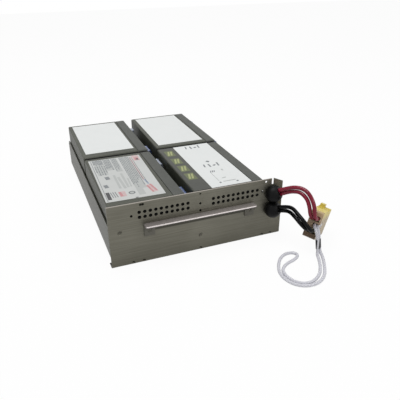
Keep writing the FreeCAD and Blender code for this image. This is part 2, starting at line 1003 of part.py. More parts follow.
def make_contacts():
    """The two contacts: a crimp barrel for both leads of a pole, and a flat blade."""
    middle_z = connector_thickness / 2
    solids = []
    for y in pole_places():
        half_y = cavity_width / 2 - barrel_clearance
        half_z = cavity_height / 2 - barrel_clearance
        barrel_end = barrel_start + barrel_length
        barrel = box(
            (barrel_start, barrel_end),
            (y - half_y, y + half_y),
            (middle_z - half_z, middle_z + half_z),
        )
        barrel = round_edges(barrel, 1.4, along(0))
        blade = box(
            (barrel_end, barrel_end + blade_length),
            (y - blade_width / 2, y + blade_width / 2),
            (middle_z - blade_thickness / 2, middle_z + blade_thickness / 2),
        )
        narrow = box(
            (barrel_end, cavity_depth),
            (y - half_y, y + half_y),
            (middle_z - blade_thickness / 2, middle_z + blade_thickness / 2),
        )
        beyond = box(
            (cavity_depth, barrel_end + blade_length),
            (y - blade_width / 2, y + blade_width / 2),
            (middle_z - blade_thickness / 2, middle_z + blade_thickness / 2),
        )
        solids.append(lay_connector(barrel.fuse(narrow).fuse(blade.common(beyond))))
    return Part.makeCompound(solids)


lead_run_out = 9.0
lead_turn_out = 7.0
lead_points = {
    "red_lead_outer": [
        (228.9, -26.0, 78.5), (235.4, -36.0, 79.2), (238.1, -46.2, 75.1),
        (239.6, -55.5, 64.1), (239.8, -56.9, 52.1),
    ],
    "red_lead_inner": [
        (228.1, -23.8, 71.7), (232.7, -34.0, 74.4), (235.6, -45.0, 69.4),
        (236.0, -51.0, 60.3), (236.9, -52.1, 51.5),
    ],
    "black_lead_outer": [
        (228.2, -25.6, 49.3), (228.3, -40.3, 46.7), (230.0, -52.2, 42.2), (233.8, -56.7, 35.4),
    ],
    "black_lead_inner": [
        (226.6, -25.6, 43.6), (223.9, -40.1, 43.3), (225.5, -48.2, 40.0), (230.0, -52.2, 34.0),
    ],
}


def lead_route(exit_point, direction, points, pole, side):
    """A lead from its bushing through its own points to the barrel in its pole."""
    middle_z = connector_thickness / 2 + side * lead_spacing / 2
    y = pole_places()[pole]
    away = in_connector(-lead_turn_out, y, middle_z)
    end = in_connector(barrel_start, y, middle_z)
    first = exit_point + direction * lead_run_out
    return [exit_point, first] + route(points) + [away, end]


# --- Pull cord ---------------------------------------------------------------------------------

cord_bend_place = (245.3, -59.4, 30.0)
cord_bend_across = Vector(1, 0, 0)
sleeve_bend_place = (246.7, -60.4, 20.6)
sleeve_axis = Vector(0.03, -0.215, -0.975).normalize()
sleeve_across = Vector(0.966, -0.241, 0.083).normalize()
cord_floor_height = 2.0
cord_floor_points = [
    (247.5, -71.9), (244.2, -78.9), (236.3, -92.7), (225.6, -107.3), (211.8, -117.6),
    (196.1, -118.6), (184.9, -108.8), (179.9, -94.7), (180.5, -82.3), (186.0, -70.6),
    (194.6, -59.0), (206.0, -51.8), (216.8, -52.6), (220.3, -60.2), (211.6, -67.0),
    (199.6, -70.2), (190.6, -75.4), (184.7, -82.5), (184.3, -94.0), (189.0, -106.0),
    (198.3, -112.0), (209.1, -110.8), (221.3, -103.2), (231.7, -89.8), (239.0, -76.3),
    (241.7, -69.3),
]


def cord_points():
    """The cord's loop: out of the housing, through the sleeve, round the floor and back."""
    middle_y = connector_width / 2
    cord_bend, sleeve_bend = route([cord_bend_place, sleeve_bend_place])
    ends = []
    for side, run_out in zip((1, -1), cord_run_outs):
        shift = side * cord_spacing / 2
        z = cord_exit_height + shift
        ends.append(
            [
                in_connector(knot_chamber_from_end - knot_flat, middle_y, z),
                in_connector(-run_out, middle_y, z),
                cord_bend + cord_bend_across * shift,
                sleeve_bend + sleeve_across * shift,
                sleeve_bend + sleeve_across * shift + sleeve_axis * sleeve_run,
            ]
        )
    loop = route([(x, y, cord_floor_height) for x, y in cord_floor_points])
    return ends[0] + loop + ends[1][::-1]


def make_sleeve():
    """The flat crimped sleeve that holds both strands."""
    sleeve_bend, = route([sleeve_bend_place])
    start = sleeve_bend + sleeve_axis * sleeve_from_bend
    normal = sleeve_axis.cross(sleeve_across)

    def oval(radius):
        ends = [start + sleeve_across * (side * cord_spacing / 2) for side in (1, -1)]
        corners = [end + normal * (side * radius) for side in (-1, 1) for end in ends]
        edges = [
            Part.LineSegment(corners[0], corners[1]).toShape(),
            Part.Arc(corners[1], ends[1] - sleeve_across * radius, corners[3]).toShape(),
            Part.LineSegment(corners[3], corners[2]).toShape(),
            Part.Arc(corners[2], ends[0] + sleeve_across * radius, corners[0]).toShape(),
        ]
        return Part.Face(Part.Wire(edges)).extrude(sleeve_axis * sleeve_length)

    inner = cord_diameter / 2 + sleeve_clearance
    return oval(inner + sleeve_wall).cut(oval(inner))


def make_knot():
    """The cord's stopper knot in its chamber, drawn as a plain bead with a flat."""
    bead = cylinder(
        (knot_chamber_from_end, connector_width / 2, cord_exit_height - knot_height / 2),
        (0, 0, 1),
        knot_radius,
        knot_height,
    )
    bead = bead.makeChamfer(knot_bevel, [edge for edge in bead.Edges if edge.isClosed()])
    flat = box(
        (knot_chamber_from_end - knot_radius, knot_chamber_from_end - knot_flat),
        (0, connector_width),
        (0, connector_thickness),
    )
    return lay_connector(bead.cut(flat))


# --- Build ---------------------------------------------------------------------------------------

os.makedirs("parts", exist_ok=True)

save("tray", make_tray())
save("front_panel", make_panel())
save("panel_rivets", make_panel_rivets())
save("pull_handle", make_handle())
save("handle_rivets", make_handle_rivets())

for name, (x, y) in batteries.items():
    save("battery_case_" + name, make_case(x, y))
    save("battery_lid_" + name, make_lid(x, y))
    save("vent_cover_" + name, make_vent_cover(x, y))
    save("terminals_" + name, make_terminals(x, y))
    save("terminal_boots_" + name, make_boots(x, y, name.split("_")[0]))
    save("label_" + name, make_label(name, x, y))
save("label_band_front_right", make_label_band("front_right", *batteries["front_right"]))

for column, name in enumerate(("left", "right")):
    save("link_lead_" + name, make_link(column))
    save("row_spacer_" + name, make_row_spacer(column))

save("foam_tapes", make_tapes())
save("front_pad", make_front_pad())
save("rear_pad", make_rear_pad())

upper, lower = bushing_places()
save("lead_bushing_upper", make_bushing(upper, bushing_upper_aim))
save("lead_bushing_lower", make_bushing(lower, bushing_lower_aim))
save("connector_housing", make_housing())
save("connector_contacts", make_contacts())

for colour, place, aim, pole in (
    ("red", upper, bushing_upper_aim, 1),
    ("black", lower, bushing_lower_aim, 0),
):
    exits, direction = lead_exits(place, aim, (-0.3, 0.1, 1))
    for exit_point, layer, side in zip(exits, ("outer", "inner"), (1, -1)):
        name = f"{colour}_lead_{layer}"
        points = lead_route(exit_point, direction, lead_points[name], pole, side)
        save(name, cord_tube(name, points, lead_diameter))

save("pull_cord", cord_tube("pull_cord", cord_points(), cord_diameter))
save("cord_sleeve", make_sleeve())
save("cord_knot", make_knot())
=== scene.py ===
import math
import random

import bmesh
import bpy
from mathutils import Matrix, Quaternion, Vector


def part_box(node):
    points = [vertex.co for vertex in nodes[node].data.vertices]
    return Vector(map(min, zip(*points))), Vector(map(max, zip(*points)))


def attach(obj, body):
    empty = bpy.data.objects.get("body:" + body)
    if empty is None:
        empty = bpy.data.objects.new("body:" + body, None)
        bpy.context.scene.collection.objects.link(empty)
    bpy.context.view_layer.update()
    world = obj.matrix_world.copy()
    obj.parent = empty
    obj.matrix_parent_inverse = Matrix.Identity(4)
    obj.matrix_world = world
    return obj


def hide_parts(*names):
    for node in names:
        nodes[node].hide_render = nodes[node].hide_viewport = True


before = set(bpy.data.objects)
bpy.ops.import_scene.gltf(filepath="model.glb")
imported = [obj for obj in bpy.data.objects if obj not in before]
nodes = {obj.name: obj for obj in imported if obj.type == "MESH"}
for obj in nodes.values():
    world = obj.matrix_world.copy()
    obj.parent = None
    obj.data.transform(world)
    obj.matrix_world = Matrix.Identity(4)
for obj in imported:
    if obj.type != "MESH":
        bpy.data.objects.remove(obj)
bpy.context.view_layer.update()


# --- Studio ---------------------------------------------------------------------------------
# A plain pale table in a white room, seen from the front left and a little above.  One broad
# soft lamp hangs overhead and a weaker one stands at the front right.

def linear(hex_code):
    """An sRGB hex colour as linear numbers."""
    channels = [int(hex_code[i:i + 2], 16) / 255 for i in (1, 3, 5)]
    return tuple(
        c / 12.92 if c <= 0.04045 else ((c + 0.055) / 1.055) ** 2.4 for c in channels
    ) + (1.0,)


def add_node(tree, kind, inputs=None, **settings):
    """Add a node with its settings, and give inputs, by name or place, a value or a link."""
    node = tree.nodes.new(kind)
    for name, value in settings.items():
        setattr(node, name, value)
    for name, value in (inputs or {}).items():
        if isinstance(value, bpy.types.NodeSocket):
            tree.links.new(value, node.inputs[name])
        else:
            node.inputs[name].default_value = value
    return node


camera_data = bpy.data.cameras.new("camera")
camera = bpy.data.objects.new("camera", camera_data)
bpy.context.scene.collection.objects.link(camera)
bpy.context.scene.camera = camera
camera_data.sensor_width = 36
camera_data.lens = 42.6
camera_data.clip_end = 20
camera.location = (-0.1881, -0.6218, 0.3307)
camera_aim = Vector((0.0009, -0.1468, 0.0688)) - camera.location
camera_roll = Quaternion((0, 0, 1), math.radians(-0.25))
camera.rotation_mode = "QUATERNION"
camera.rotation_quaternion = camera_aim.to_track_quat("-Z", "Y") @ camera_roll

room = bpy.data.worlds.new("white_room")
bpy.context.scene.world = room
room.use_nodes = True
room_tree = room.node_tree
room_tree.nodes.clear()


def add_seen(tree):
    """1 where the camera, a gloss or clear plastic looks at something, and 0 for its light."""
    path = add_node(tree, "ShaderNodeLightPath")
    through = add_node(
        tree, "ShaderNodeMath",
        {0: path.outputs["Is Glossy Ray"], 1: path.outputs["Is Transmission Ray"]},
        operation="MAXIMUM",
    )
    seen = add_node(
        tree, "ShaderNodeMath", {0: path.outputs["Is Camera Ray"], 1: through.outputs[0]},
        operation="MAXIMUM",
    )
    return seen.outputs[0]


# The room is seen as white, and what it sheds on the object is weaker.
room_as_light, room_as_seen = 0.4, 1.0
room_strength = add_node(
    room_tree, "ShaderNodeMapRange",
    {"Value": add_seen(room_tree), "To Min": room_as_light, "To Max": room_as_seen},
)
room_light = add_node(
    room_tree, "ShaderNodeBackground",
    {"Color": linear("#ffffff"), "Strength": room_strength.outputs[0]},
)
add_node(room_tree, "ShaderNodeOutputWorld", {"Surface": room_light.outputs[0]})


def add_lamp(name, size, power, place, aim):
    """A square soft lamp at a place, turned to what it lights."""
    data = bpy.data.lights.new(name, "AREA")
    data.size = size
    data.energy = power
    lamp = bpy.data.objects.new(name, data)
    bpy.context.scene.collection.objects.link(lamp)
    lamp.location = place
    lamp.rotation_euler = (Vector(aim) - Vector(place)).to_track_quat("-Z", "Y").to_euler()


add_lamp("soft_lamp_above", size=0.9, power=16, place=(-0.25, 0.1, 1.7), aim=(0, 0, 0.04))
add_lamp("soft_lamp_right", size=0.25, power=4, place=(0.75, -1.25, 1.0), aim=(0.05, -0.1, 0.04))

table_width = 6.0
table_mesh = bpy.data.meshes.new("table_top")
table_form = bmesh.new()
bmesh.ops.create_grid(table_form, x_segments=1, y_segments=1, size=table_width / 2)
table_form.to_mesh(table_mesh)
table_form.free()
table = bpy.data.objects.new("table_top", table_mesh)
bpy.context.scene.collection.objects.link(table)

# Pale matt paint, seen almost as white as the room, so that only a faint shadow is left.
table_glow_share = 0.95
table_paint = bpy.data.materials.new("pale_table_paint")
table_paint.use_nodes = True
table_tree = table_paint.node_tree
table_tree.nodes.clear()
table_diffuse = add_node(table_tree, "ShaderNodeBsdfDiffuse", {"Color": linear("#f4f4f4")})
table_glow = add_node(
    table_tree, "ShaderNodeEmission", {"Color": linear("#ffffff"), "Strength": 1.0}
)
table_share = add_node(
    table_tree, "ShaderNodeMath", {0: add_seen(table_tree), 1: table_glow_share},
    operation="MULTIPLY",
)
table_mix = add_node(
    table_tree, "ShaderNodeMixShader",
    {"Fac": table_share.outputs[0], 1: table_diffuse.outputs[0], 2: table_glow.outputs[0]},
)
add_node(table_tree, "ShaderNodeOutputMaterial", {"Surface": table_mix.outputs[0]})
table_mesh.materials.append(table_paint)


# --- Leads ----------------------------------------------------------------------------------
# Two red and two black stranded copper leads in glossy PVC insulation, 5 mm thick.  They are
# held by the bushings at the panel's right end and crimped, two to a contact, in the connector.

lead_diameter = 0.005
lead_routes = {
    "red_lead_outer": [
        (0.1034, -0.1597, 0.0687), (0.1087, -0.1656, 0.0728), (0.1152, -0.1762, 0.0785),
        (0.1217, -0.1862, 0.0792), (0.1243, -0.1964, 0.0751), (0.1258, -0.2057, 0.0641),
        (0.1261, -0.2072, 0.0521), (0.1318, -0.2044, 0.0431), (0.1411, -0.1963, 0.0388),
    ],
    "red_lead_inner": [
        (0.1057, -0.161, 0.0638), (0.111, -0.1669, 0.068), (0.1143, -0.1741, 0.0717),
        (0.1189, -0.1842, 0.0744), (0.1218, -0.1953, 0.0694), (0.1222, -0.2013, 0.0603),
        (0.1232, -0.2024, 0.0515), (0.1285, -0.2001, 0.044), (0.1378, -0.192, 0.0397),
    ],
    "black_lead_outer": [
        (0.1043, -0.1604, 0.0449), (0.1102, -0.1666, 0.0474), (0.1147, -0.1758, 0.0496),
        (0.1146, -0.1906, 0.0467), (0.1163, -0.2024, 0.0422), (0.1201, -0.2069, 0.0354),
        (0.1259, -0.2057, 0.0281), (0.1352, -0.1976, 0.0237),
    ],
    "black_lead_inner": [
        (0.1059, -0.1609, 0.0397), (0.1119, -0.1672, 0.0417), (0.1129, -0.1759, 0.0431),
        (0.111, -0.1897, 0.0435), (0.1125, -0.1977, 0.0398), (0.1171, -0.2017, 0.034),
        (0.1226, -0.2014, 0.029), (0.1319, -0.1933, 0.0247),
    ],
}
millimetre = 0.001


def new_material(name, **shader_inputs):
    """A material with one Principled shader: the material, its tree and the shader."""
    material = bpy.data.materials.new(name)
    material.use_nodes = True
    tree = material.node_tree
    tree.nodes.clear()
    inputs = {
        key.replace("_", " ").title().replace("Ior", "IOR"): value
        for key, value in shader_inputs.items()
    }
    shader = add_node(tree, "ShaderNodeBsdfPrincipled", inputs)
    add_node(tree, "ShaderNodeOutputMaterial", {"Surface": shader.outputs[0]})
    return material, tree, shader


def surface_pattern(tree, cell, stretch=(1, 1, 1), kind="ShaderNodeTexNoise", output="Fac"):
    """A pattern on Object coordinates, its cells so many millimetres wide.

    Where an axis has a stretch below 1, the cells are longer along it.
    """
    place = add_node(tree, "ShaderNodeTexCoord")
    fitted = add_node(
        tree, "ShaderNodeMapping", {"Vector": place.outputs["Object"], "Scale": stretch}
    )
    pattern = add_node(
        tree, kind, {"Vector": fitted.outputs[0], "Scale": 1 / (cell * millimetre)}
    )
    return pattern.outputs[output]


def lay_colours(tree, base, *layers):
    """Lay colours over a base, each where its mask is 1.  A colour is a hex code or a socket."""
    for mask, colour in layers:
        below, above = (linear(c) if isinstance(c, str) else c for c in (base, colour))
        covered = add_node(
            tree, "ShaderNodeMix", {"Factor": mask, "A": below, "B": above}, data_type="RGBA"
        )
        base = covered.outputs["Result"]
    return base


def finish_surface(tree, shader, colour, pattern=None, depth=0):
    """Give a shader its colour and, if it has a depth in millimetres, a pattern's relief."""
    tree.links.new(colour, shader.inputs["Base Color"])
    if depth:
        relief = add_node(
            tree, "ShaderNodeBump", {"Height": pattern, "Distance": depth * millimetre}
        )
        tree.links.new(relief.outputs[0], shader.inputs["Normal"])


def make_insulation(name, deep, bright, gloss):
    """Extruded PVC: glossy, a little uneven in colour and in its drawn surface."""
    material, tree, shader = new_material(
        name, roughness=0.24, ior=1.53, specular_ior_level=gloss
    )
    colour = lay_colours(tree, deep, (surface_pattern(tree, cell=12), bright))
    ripple = surface_pattern(tree, cell=2.5)
    finish_surface(tree, shader, colour, ripple, depth=0.06)
    return material


def make_cord_curve(name, points, diameter, material):
    """A smooth cord: one NURBS spline that follows its route's points."""
    curve = bpy.data.curves.new(name, "CURVE")
    curve.dimensions = "3D"
    curve.bevel_depth = diameter / 2
    curve.bevel_resolution = 6
    curve.resolution_u = 12
    curve.use_fill_caps = True
    spline = curve.splines.new("NURBS")
    spline.points.add(len(points) - 1)
    for point, place in zip(spline.points, points):
        point.co = (*place, 1)
    spline.order_u = 3
    spline.use_endpoint_u = True
    curve.materials.append(material)
    cord = bpy.data.objects.new(name, curve)
    bpy.context.scene.collection.objects.link(cord)
    return cord


lead_insulation = {
    "red": make_insulation("pvc_insulation_red", "#6a0a22", "#8c1232", 0.28),
    "black": make_insulation("pvc_insulation_black", "#060607", "#0e0e10", 0.1),
}
for node, points in lead_routes.items():
    colour = node.split("_")[0]
    lead = make_cord_curve(node + "_insulation", points, lead_diameter, lead_insulation[colour])
    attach(lead, "root")
    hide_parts(node)


# --- Pull cord ------------------------------------------------------------------------------
# A loop of white braided nylon cord, 3.9 mm thick, knotted in a chamber of the connector.  Its
# two strands run through a clear sleeve and lie as a hook-shaped bight on the table.

pull_cord_diameter = 0.0039
pull_cord_length = 0.4202
pull_cord_route = [
    (0.1426, -0.1969, 0.0295), (0.134, -0.2045, 0.0339), (0.1334, -0.2089, 0.0299),
    (0.135, -0.21, 0.0205), (0.135, -0.2134, 0.0037), (0.1333, -0.2218, 0.002),
    (0.1301, -0.2289, 0.002), (0.1226, -0.2429, 0.002), (0.1119, -0.2587, 0.002),
    (0.0979, -0.2682, 0.002), (0.082, -0.2685, 0.002), (0.0701, -0.2604, 0.002),
    (0.0649, -0.2463, 0.002), (0.0659, -0.2333, 0.002), (0.0722, -0.2208, 0.002),
    (0.0808, -0.2092, 0.002), (0.0922, -0.2021, 0.002), (0.1031, -0.2029, 0.002),
    (0.1066, -0.2104, 0.002), (0.0978, -0.2172, 0.002), (0.0858, -0.2204, 0.002),
    (0.0768, -0.2257, 0.002), (0.0709, -0.2328, 0.002), (0.0695, -0.2452, 0.002),
    (0.0741, -0.2578, 0.002), (0.0836, -0.264, 0.002), (0.0949, -0.2628, 0.002),
    (0.1079, -0.2545, 0.002), (0.1183, -0.2403, 0.002), (0.1253, -0.2266, 0.002),
    (0.1279, -0.2196, 0.002), (0.1315, -0.2151, 0.0039), (0.1314, -0.2117, 0.0207),
    (0.1298, -0.2105, 0.0301), (0.1299, -0.2026, 0.0353), (0.1401, -0.1936, 0.0302),
]

# Braided nylon: white and matt, its plaits 1.6 mm long along the cord and eight round it.
plait_length = 0.0016
plaits_round = 8
braided_nylon, braid_tree, braid_shader = new_material(
    "braided_nylon", roughness=0.55, ior=1.5, sheen_weight=0.2
)
braid_place = add_node(braid_tree, "ShaderNodeTexCoord")
braid_fit = add_node(
    braid_tree, "ShaderNodeMapping",
    {
        "Vector": braid_place.outputs["UV"],
        "Scale": (pull_cord_length / plait_length, plaits_round, 1),
    },
)
plaits = add_node(
    braid_tree, "ShaderNodeTexChecker", {"Vector": braid_fit.outputs[0], "Scale": 1.0}
).outputs["Fac"]
braid_colour = lay_colours(braid_tree, "#e0e0e6", (plaits, "#cacad2"))
finish_surface(braid_tree, braid_shader, braid_colour, plaits, depth=0.1)

pull_cord = make_cord_curve(
    "braided_pull_cord", pull_cord_route, pull_cord_diameter, braided_nylon
)
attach(pull_cord, "root")
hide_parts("pull_cord")


# --- Sheet steel ----------------------------------------------------------------------------
# The tray and the front panel are folded from 1.2 mm zinc-plated steel with a brushed grain
# along the sheet, and riveted together at the tray's front flanges.

def dress(node_names, material):
    """Give CAD nodes a material."""
    for node_name in node_names:
        mesh = nodes[node_name].data
        mesh.materials.clear()
        mesh.materials.append(material)


rightward, rearward, upward = (1, 0, 0), (0, 1, 0), (0, 0, 1)


def mask_along(tree, axis, start, end, origin=(0, 0, 0), strength=1.0):
    """A soft mask: 0 at one distance from an origin along an axis, its strength at another."""
    place = add_node(tree, "ShaderNodeTexCoord")
    away = add_node(
        tree, "ShaderNodeVectorMath", {0: place.outputs["Object"], 1: origin},
        operation="SUBTRACT",
    )
    reach = add_node(
        tree, "ShaderNodeVectorMath", {0: away.outputs[0], 1: axis}, operation="DOT_PRODUCT"
    )
    mask = add_node(
        tree, "ShaderNodeMapRange",
        {
            "Value": reach.outputs["Value"], "From Min": start, "From Max": end,
            "To Max": strength,
        },
        interpolation_type="SMOOTHSTEP",
    )
    return mask.outputs[0]


def clouded_colour(tree, dark, pale, fine, broad, broad_share):
    """A colour between two that follows a fine pattern and, by its share, a broad one."""
    tone = add_node(
        tree, "ShaderNodeMix", {"Factor": broad_share, "A": fine, "B": broad},
        data_type="FLOAT",
    )
    # Noise keeps mostly between these two, which are spread over both colours.
    darkest, palest = 0.3, 0.7
    spread = add_node(
        tree, "ShaderNodeMapRange",
        {"Value": tone.outputs[0], "From Min": darkest, "From Max": palest},
    )
    return lay_colours(tree, dark, (spread.outputs[0], pale))


def make_steel(name, dark, pale, grain, painted_light=None):
    """Brushed zinc plate: a dull olive grey with faint streaks and cloudy reflections.

    The grain is the stretch that lays the streaks along one axis, and the last argument gives
    the layers of painted shade and highlight laid over the zinc.
    """
    material, tree, shader = new_material(name, metallic=0.85)
    # Streaks 1.2 mm apart, coarser than the real 0.2 mm grain, so that they show.
    streaks = surface_pattern(tree, cell=1.2, stretch=grain)
    clouds = surface_pattern(tree, cell=45)
    zinc = clouded_colour(tree, dark, pale, streaks, clouds, broad_share=0.4)
    smoothest, roughest = 0.34, 0.5
    roughness = add_node(
        tree, "ShaderNodeMapRange",
        {"Value": streaks, "To Min": smoothest, "To Max": roughest},
    )
    tree.links.new(roughness.outputs[0], shader.inputs["Roughness"])
    layers = painted_light(tree) if painted_light else []
    finish_surface(tree, shader, lay_colours(tree, zinc, *layers), streaks, depth=0.02)
    return material


def paint_panel_light(tree):
    """The panel's layers: painted shade low down, a bright sheared top edge and more painted
    shade.

    The bright edge is partly the sheared steel and partly a painted highlight.  The other painted
    shade lies on the foot behind the panel and as a shadow under the pull handle's ledge.
    """
    panel_low, panel_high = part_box("front_panel")
    handle_low, handle_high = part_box("pull_handle")
    # Where each layer begins and is full, in metres.
    low_shade_top, low_shade_foot = 0.04, -0.045
    edge_top, edge_height = panel_high[2], 0.0009
    foot_start, foot_full = panel_low[1] + 0.0013, panel_low[1] + 0.002
    # A painted shadow under the pull handle's ledge, 4.2 mm high, soft at its foot and ends.
    handle_shadow_top = handle_high[2] - 0.0078
    handle_shadow_foot = handle_shadow_top - 0.0042
    handle_shadow_left, handle_shadow_right = handle_low[0], handle_high[0] + 0.003
    blur_top, blur_foot, blur_left, blur_right = 0.0009, 0.0018, 0.02, 0.003
    handle_shadow_strength = 0.62
    line = handle_shadow_strength
    for axis, start, end in (
        (upward, handle_shadow_top, handle_shadow_top - blur_top),
        (upward, handle_shadow_foot, handle_shadow_foot + blur_foot),
        (rightward, handle_shadow_left, handle_shadow_left + blur_left),
        (rightward, handle_shadow_right, handle_shadow_right - blur_right),
    ):
        line = add_node(
            tree, "ShaderNodeMath", {0: mask_along(tree, axis, start, end), 1: line},
            operation="MULTIPLY",
        ).outputs[0]
    return [
        # Painted shade: the panel darker towards the bottom.
        (mask_along(tree, upward, low_shade_top, low_shade_foot), "#3a382f"),
        # Bright top edge: partly the sheared steel, partly a painted highlight.
        (mask_along(tree, upward, edge_top - edge_height, edge_top), "#a8a29a"),
        # Painted shade on the foot behind the panel, seen through its holes and notches.
        (mask_along(tree, rearward, foot_start, foot_full), "#14130f"),
        # Painted shadow under the pull handle's ledge.
        (line, "#0c0b0a"),
    ]


tray_grain, panel_grain = (1, 0.02, 1), (0.02, 1, 1)
# The tray's zinc is coloured darker than the panel's: painted shade on its side walls.
tray_steel = make_steel("brushed_zinc_steel_tray", "#393930", "#46463c", tray_grain)
dress(["tray"], tray_steel)
panel_steel = make_steel(
    "brushed_zinc_steel_panel", "#636157", "#79776c", panel_grain, paint_panel_light
)
dress(["front_panel"], panel_steel)


def make_speckled(name, dark, pale, cell, depth=0, **shader_inputs):
    """A finish in two colours that drift into each other, with relief if it has a depth.

    The drifts, or cells, and the depth are in millimetres.
    """
    material, tree, shader = new_material(name, **shader_inputs)
    speckles = surface_pattern(tree, cell)
    finish_surface(tree, shader, lay_colours(tree, dark, (speckles, pale)), speckles, depth)
    return material


# Drawn steel: small bright and dull spots on the heads, coloured darker than the panel as painted
# shade of their recesses.
rivet_steel = make_speckled(
    "drawn_rivet_steel", "#3e3c36", "#6a6860", cell=2, metallic=1.0, roughness=0.35
)
dress(["panel_rivets", "handle_rivets"], rivet_steel)


# --- Pull handle ----------------------------------------------------------------------------
# A steel ledge that a hand draws the cartridge out by, riveted to the panel through its two
# feet.  Its rolled edge carries a painted highlight.

# Zinc plate, pale and smooth, with painted light: the ledge is painted lighter where it faces up
# and the feet darker; the lip has a painted highlight on its upper edge and painted shade below.
handle_steel, handle_tree, handle_shader = new_material(
    "zinc_steel_handle_painted_light", metallic=0.3, roughness=0.36, specular_ior_level=0.3
)
handle_low, handle_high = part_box("pull_handle")
handle_front, handle_top = handle_low[1], handle_high[2]
# Where the ledge's lighter tone, the lip's painted highlight and the lip's end begin and are
# full, in metres.
ledge_foot, ledge_full = handle_top - 0.0036, handle_top - 0.0024
highlight_foot, highlight_full = handle_top - 0.0014, handle_top - 0.0009
lip_back, lip_end = handle_front + 0.0006, handle_front + 0.0018
handle_zinc = lay_colours(
    handle_tree, "#8a8482", (surface_pattern(handle_tree, cell=6), "#a09a98")
)
# Painted light: the feet darker and the ledge lighter where it faces up.
handle_body = lay_colours(
    handle_tree, "#605e56", (mask_along(handle_tree, upward, ledge_foot, ledge_full), handle_zinc)
)
# The lip: a painted highlight on its upper edge and painted shade below it.
handle_lip = lay_colours(
    handle_tree, "#1c1a19", (mask_along(handle_tree, upward, highlight_foot, highlight_full), "#ddd5d3")
)
handle_colour = lay_colours(
    handle_tree, handle_lip, (mask_along(handle_tree, rearward, lip_back, lip_end), handle_body)
)
finish_surface(handle_tree, handle_shader, handle_colour)
dress(["pull_handle"], handle_steel)


# --- Batteries ------------------------------------------------------------------------------
# Four sealed lead-acid batteries in dark grey ABS with a fine spark-eroded grain.  Each lies
# on its side with its welded lid to the right.

def make_abs(name, dark, pale, depth):
    """Moulded ABS: matt, with a fine pebbled grain and faint handling marks."""
    material, tree, shader = new_material(
        name, roughness=0.5, ior=1.54, specular_ior_level=0.3
    )
    # Pebbles 0.8 mm across, coarser than the real 0.3 mm grain, so that they show.
    pebbles = surface_pattern(tree, cell=0.8)
    marks = surface_pattern(tree, cell=30)
    colour = clouded_colour(tree, dark, pale, pebbles, marks, broad_share=0.6)
    finish_surface(tree, shader, colour, pebbles, depth)
    return material


battery_names = ("front_left", "front_right", "rear_left", "rear_right")
case_abs = make_abs("grained_abs_case", "#3c3e35", "#484a40", depth=0.08)
lid_abs = make_abs("grained_abs_lid", "#3e403b", "#4b4d48", depth=0.06)
cover_abs = make_abs("smooth_abs_vent_cover", "#3c3e3b", "#464845", depth=0.03)
dress(["battery_case_" + name for name in battery_names], case_abs)
dress(["battery_lid_" + name for name in battery_names], lid_abs)
dress(["vent_cover_" + name for name in battery_names], cover_abs)

# Tin on stamped brass: bright, warm and a little tarnished.
tin_plate = make_speckled(
    "tin_plated_brass", "#b3a988", "#cfc8ae", cell=3, metallic=1.0, roughness=0.3
)
dress(["terminals_" + name for name in battery_names], tin_plate)


def make_boot_vinyl(name, node_name):
    """Clear vinyl over the receptacles, glossy, hazy and a little see-through.

    It is navy at a battery's front, negative, terminal and pale grey at the rear one.
    """
    material, tree, shader = new_material(
        name, roughness=0.2, ior=1.5, transmission_weight=0.2, coat_weight=0.4
    )
    low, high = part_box(node_name)
    place = add_node(tree, "ShaderNodeTexCoord")
    axes = add_node(tree, "ShaderNodeSeparateXYZ", {"Vector": place.outputs["Object"]})
    at_rear = add_node(
        tree, "ShaderNodeMath", {0: axes.outputs["Y"], 1: (low[1] + high[1]) / 2},
        operation="GREATER_THAN",
    )
    haze = surface_pattern(tree, cell=6)
    navy = lay_colours(tree, "#2a3a68", (haze, "#5870a8"))
    pale = lay_colours(tree, "#8d97ad", (haze, "#b9c2d2"))
    finish_surface(tree, shader, lay_colours(tree, navy, (at_rear.outputs[0], pale)))
    return material


for name in battery_names:
    boots = "terminal_boots_" + name
    dress([boots], make_boot_vinyl("clear_vinyl_boot_" + name, boots))

link_pvc = make_insulation("pvc_insulation_navy", "#10142c", "#1c2244", gloss=0.3)
dress(["link_lead_left", "link_lead_right"], link_pvc)


# --- Labels ---------------------------------------------------------------------------------
# Coated paper stuck on the batteries' upper sides.  Three are white and nearly bare, one is
# printed with small grey and red fields, and one battery has a dark band with olive marks.

def make_paper(name, dark, pale):
    """Coated label paper: smooth and almost even, with faint creases and a soft gloss."""
    return make_speckled(name, dark, pale, cell=35, depth=0.6, roughness=0.38, ior=1.5)


white_paper = make_paper("coated_paper_white", "#dadddc", "#e0e2e1")
print_paper = make_paper("coated_paper_grey", "#babcba", "#c5c7c5")
band_paper = make_paper("coated_paper_dark", "#20221a", "#2a2c20")
dress(["label_front_right", "label_rear_left", "label_rear_right"], white_paper)
dress(["label_front_left"], print_paper)
dress(["label_band_front_right"], band_paper)

# Flexographic ink: flat colour, a little uneven where the plate pressed lightly.  Each ink
# lies a little above the ones before it, where they cross.
ink_colours = {
    "pale": ("#a8aba9", "#b2b5b3"), "rose": ("#bda2a2", "#c9b2b2"),
    "moss": ("#4e5630", "#5a6238"), "grey": ("#6d7274", "#7d8184"),
    "blue": ("#7d8ba0", "#93a0b2"), "red": ("#b07478", "#c28c8e"),
    "olive": ("#8a9056", "#a2a872"), "dark": ("#2a2b2c", "#3c3d3e"),
}
inks = {
    ink: make_speckled("printed_ink_" + ink, dark, pale, cell=4, roughness=0.42, ior=1.5)
    for ink, (dark, pale) in ink_colours.items()
}
ink_thickness = 0.00006
ink_step = ink_thickness / 6


